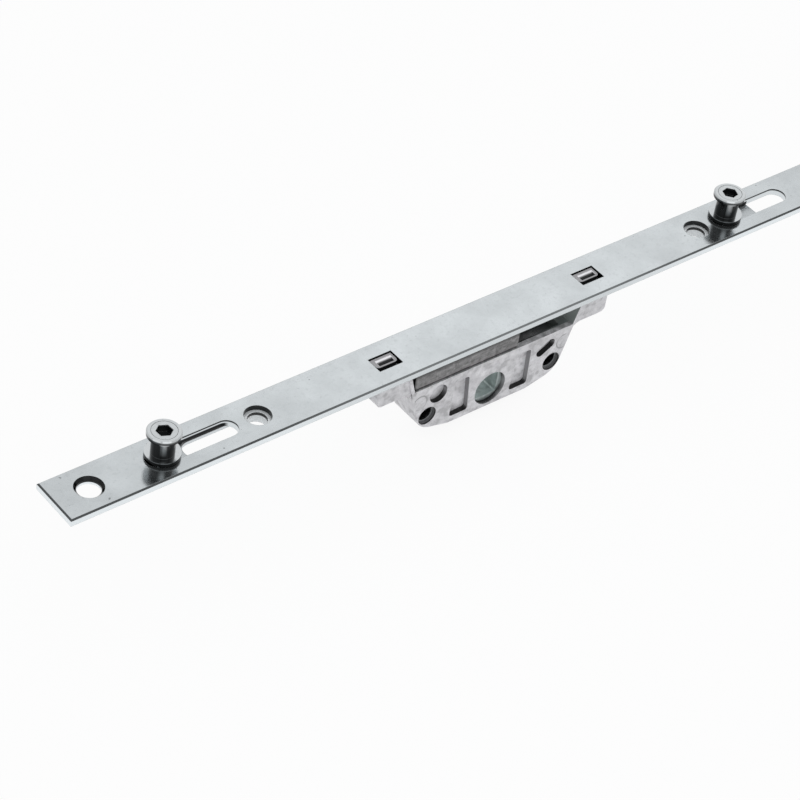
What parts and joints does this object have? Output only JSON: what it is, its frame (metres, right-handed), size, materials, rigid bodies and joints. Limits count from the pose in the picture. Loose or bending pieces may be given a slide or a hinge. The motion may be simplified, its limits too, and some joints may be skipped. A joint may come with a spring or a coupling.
{
  "type": "window espagnolette gearbox",
  "caption": "Faceplate with a cast gearbox below it: a square-hole follower drives a rack and bar that slides the locking cams along slots.",
  "frame": {"origin": "middle of the faceplate's front face, straight above the spindle axis", "axes": "+X along the faceplate, +Z out of its front face on the side of the cams, +Y along the spindle axis; the casing hangs towards -Z"},
  "size_m": [0.27, 0.015, 0.0356],
  "materials": {
    "face_zinc": "satin zinc plate",
    "cast_alloy": "matte die-cast zinc alloy",
    "sleeve_steel": "satin",
    "bush_steel": "satin",
    "bar_zinc": "satin zinc plate",
    "rack_steel": "sintered grey",
    "rivet_steel": "satin",
    "follower_steel": "zinc plated, greenish grey",
    "cam_steel": "polished"
  },
  "bodies": {
    "lock_body": {"faceplate": "face_zinc", "casing_front": "cast_alloy", "casing_rear": "cast_alloy", "screw_sleeve_left": "sleeve_steel", "screw_sleeve_right": "sleeve_steel", "guide_bush_left": "bush_steel", "guide_bush_right": "bush_steel"},
    "drive": {"drive_bar": "bar_zinc", "rack_block": "rack_steel", "bar_rivet_a": "rivet_steel", "bar_rivet_b": "rivet_steel", "pin_washer_left": "rivet_steel", "pin_washer_right": "rivet_steel"},
    "follower": {"follower": "follower_steel"},
    "pin_left": {"cam_pin_left": "cam_steel"},
    "pin_right": {"cam_pin_right": "cam_steel"},
    "roller_left": {"cam_roller_left": "cam_steel"},
    "roller_right": {"cam_roller_right": "cam_steel"}
  },
  "joints": [
    {"name": "drive_slide", "type": "slide", "parent": "lock_body", "child": "drive", "axis": [1, 0, 0], "range_m": [0, 0.018]},
    {"name": "spindle_turn", "type": "hinge", "parent": "lock_body", "child": "follower", "pos_m": [0, 0, -0.021], "axis": [0, 1, 0], "range_deg": [0, 90]},
    {"name": "pin_turn_left", "type": "hinge", "parent": "drive", "child": "pin_left", "pos_m": [-0.104, 0, 0], "axis": [0, 0, 1], "continuous": true},
    {"name": "pin_turn_right", "type": "hinge", "parent": "drive", "child": "pin_right", "pos_m": [0.086, 0, 0], "axis": [0, 0, 1], "continuous": true},
    {"name": "roller_spin_left", "type": "hinge", "parent": "pin_left", "child": "roller_left", "pos_m": [-0.10359, 0.00029, 0], "axis": [0, 0, 1], "continuous": true},
    {"name": "roller_spin_right", "type": "hinge", "parent": "pin_right", "child": "roller_right", "pos_m": [0.08617, 0.00047, 0], "axis": [0, 0, 1], "continuous": true}
  ],
  "couplings": [
    {"joint": "spindle_turn", "follows": "drive_slide", "rad_per_m": 87.266}
  ]
}
